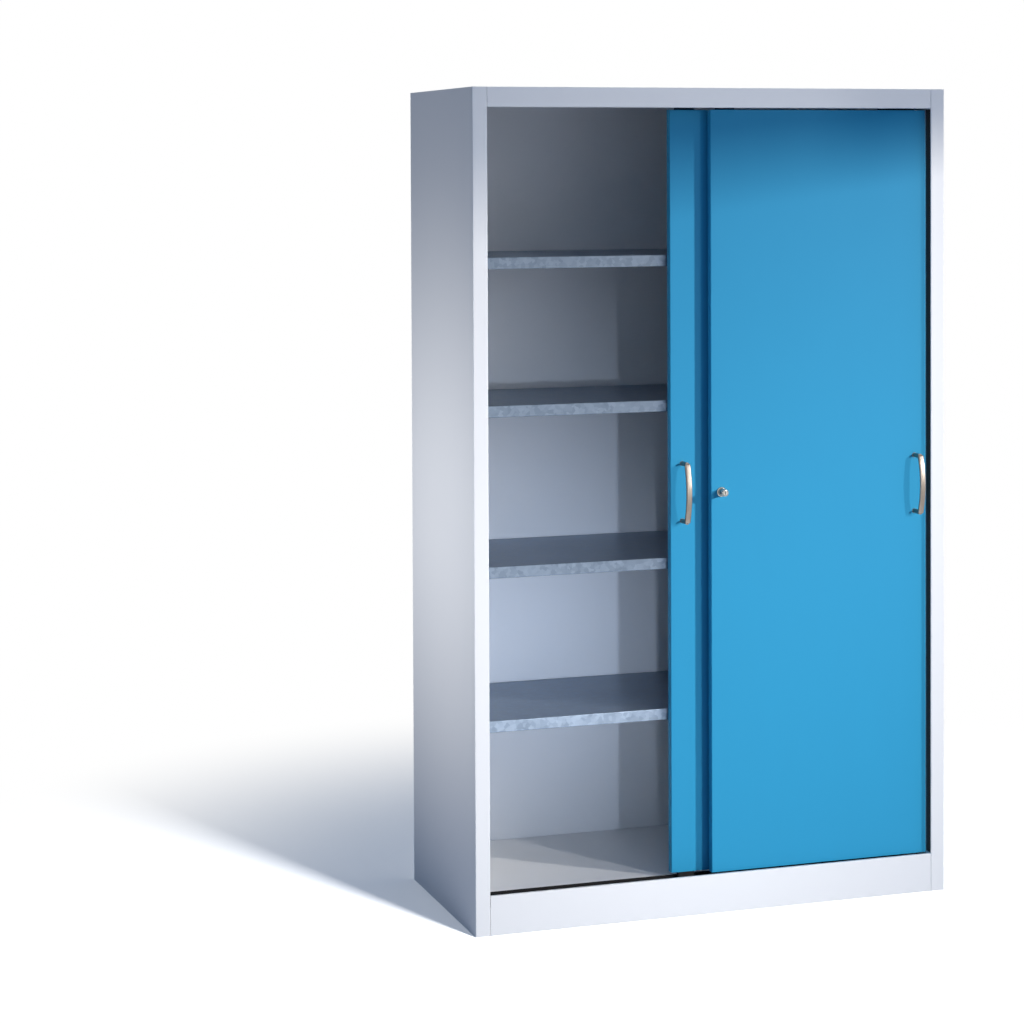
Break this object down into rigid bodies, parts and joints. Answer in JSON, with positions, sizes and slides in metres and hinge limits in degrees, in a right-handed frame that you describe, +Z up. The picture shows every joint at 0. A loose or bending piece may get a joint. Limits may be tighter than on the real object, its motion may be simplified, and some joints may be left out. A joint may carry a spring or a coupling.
{
  "type": "sliding door cabinet",
  "caption": "Tall sheet steel storage cabinet with a pair of sliding doors on rollers, bow handles, a push lock and adjustable galvanised shelves behind.",
  "frame": {"origin": "centre of the carcase's footprint, on the floor", "axes": "+Z up, +X to the right seen from the front, -Y out of the doors"},
  "size_m": [1.2, 0.5225, 1.95],
  "materials": {
    "body_paint": "fine powder coat, satin",
    "door_paint": "fine powder coat, satin",
    "galvanised_steel": "galvanised, with spangle",
    "zinc_plated_steel": "bright zinc plating",
    "black_steel": "black enamel, matt",
    "satin_nickel": "satin nickel plating",
    "chrome": "polished",
    "spring_steel": "plain",
    "bearing_steel": "ground",
    "lock_core_brass": "nickel plated face",
    "nylon": "moulded",
    "black_nylon": "moulded",
    "rubber": "matt"
  },
  "bodies": {
    "carcase": {"left_side_panel": "body_paint", "right_side_panel": "body_paint", "back_panel": "body_paint", "top_panel": "body_paint", "floor_panel": "body_paint", "floor_stiffeners": "body_paint", "top_rail": "body_paint", "plinth": "body_paint", "left_front_shelf_rail": "galvanised_steel", "left_rear_shelf_rail": "galvanised_steel", "right_front_shelf_rail": "galvanised_steel", "right_rear_shelf_rail": "galvanised_steel", "shelf_1": "galvanised_steel", "shelf_1_stiffener": "galvanised_steel", "shelf_2": "galvanised_steel", "shelf_2_stiffener": "galvanised_steel", "shelf_3": "galvanised_steel", "shelf_3_stiffener": "galvanised_steel", "shelf_4": "galvanised_steel", "shelf_4_stiffener": "galvanised_steel", "shelf_clips": "zinc_plated_steel", "top_track": "zinc_plated_steel", "top_track_screws": "zinc_plated_steel", "bottom_guide_rail": "black_steel", "guide_rail_rivets": "black_steel", "track_stops": "rubber", "left_post_buffers": "rubber", "right_post_buffers": "rubber", "right_post_seal": "rubber"},
    "front_door": {"front_door_panel": "door_paint", "front_door_stiffener": "door_paint", "front_hangers": "black_steel", "front_hanger_screws": "black_steel", "front_roller_axles": "zinc_plated_steel", "front_guides": "black_nylon", "front_handle": "satin_nickel", "front_handle_screws": "zinc_plated_steel", "lock_housing": "chrome", "lock_nut": "zinc_plated_steel", "lock_spring": "spring_steel"},
    "rear_door": {"rear_door_panel": "door_paint", "rear_door_stiffener": "door_paint", "rear_hangers": "black_steel", "rear_hanger_screws": "black_steel", "rear_roller_axles": "zinc_plated_steel", "rear_guides": "black_nylon", "rear_handle": "satin_nickel", "rear_handle_screws": "zinc_plated_steel", "strike_bush": "zinc_plated_steel"},
    "front_left_wheel": {"front_left_roller": "nylon", "front_left_bearing": "bearing_steel"},
    "front_right_wheel": {"front_right_roller": "nylon", "front_right_bearing": "bearing_steel"},
    "rear_left_wheel": {"rear_left_roller": "nylon", "rear_left_bearing": "bearing_steel"},
    "rear_right_wheel": {"rear_right_roller": "nylon", "rear_right_bearing": "bearing_steel"},
    "lock_barrel": {"lock_cylinder": "chrome", "lock_pin": "spring_steel"},
    "lock_plug": {"lock_core": "lock_core_brass"}
  },
  "joints": [
    {"name": "front_door_slide", "type": "slide", "parent": "carcase", "child": "front_door", "axis": [1, 0, 0], "range_m": [-0.05, 0]},
    {"name": "rear_door_slide", "type": "slide", "parent": "carcase", "child": "rear_door", "axis": [1, 0, 0], "range_m": [-0.4675, 0]},
    {"name": "front_left_wheel_spin", "type": "hinge", "parent": "front_door", "child": "front_left_wheel", "pos_m": [0.0425, -0.2108, 1.9315], "axis": [0, 1, 0], "range_deg": [-284, 3]},
    {"name": "front_right_wheel_spin", "type": "hinge", "parent": "front_door", "child": "front_right_wheel", "pos_m": [0.5175, -0.2108, 1.9315], "axis": [0, 1, 0], "range_deg": [-284, 3]},
    {"name": "rear_left_wheel_spin", "type": "hinge", "parent": "rear_door", "child": "rear_left_wheel", "pos_m": [-0.05, -0.1838, 1.9315], "axis": [0, 1, 0], "range_deg": [-2630, 3]},
    {"name": "rear_right_wheel_spin", "type": "hinge", "parent": "rear_door", "child": "rear_right_wheel", "pos_m": [0.4835, -0.1838, 1.9315], "axis": [0, 1, 0], "range_deg": [-2630, 3]},
    {"name": "lock_push", "type": "slide", "parent": "front_door", "child": "lock_barrel", "axis": [0, 1, 0], "range_m": [0, 0.012], "stiffness_N_per_m": 250, "springref_m": -0.008, "deforming": ["lock_spring"]},
    {"name": "lock_turn", "type": "hinge", "parent": "lock_barrel", "child": "lock_plug", "pos_m": [0.024, -0.241, 0.995], "axis": [0, 1, 0], "range_deg": [0, 90]}
  ],
  "couplings": [
    {"joint": "front_left_wheel_spin", "follows": "front_door_slide", "rad_per_m": 98.039},
    {"joint": "front_right_wheel_spin", "follows": "front_door_slide", "rad_per_m": 98.039},
    {"joint": "rear_left_wheel_spin", "follows": "rear_door_slide", "rad_per_m": 98.039},
    {"joint": "rear_right_wheel_spin", "follows": "rear_door_slide", "rad_per_m": 98.039}
  ]
}
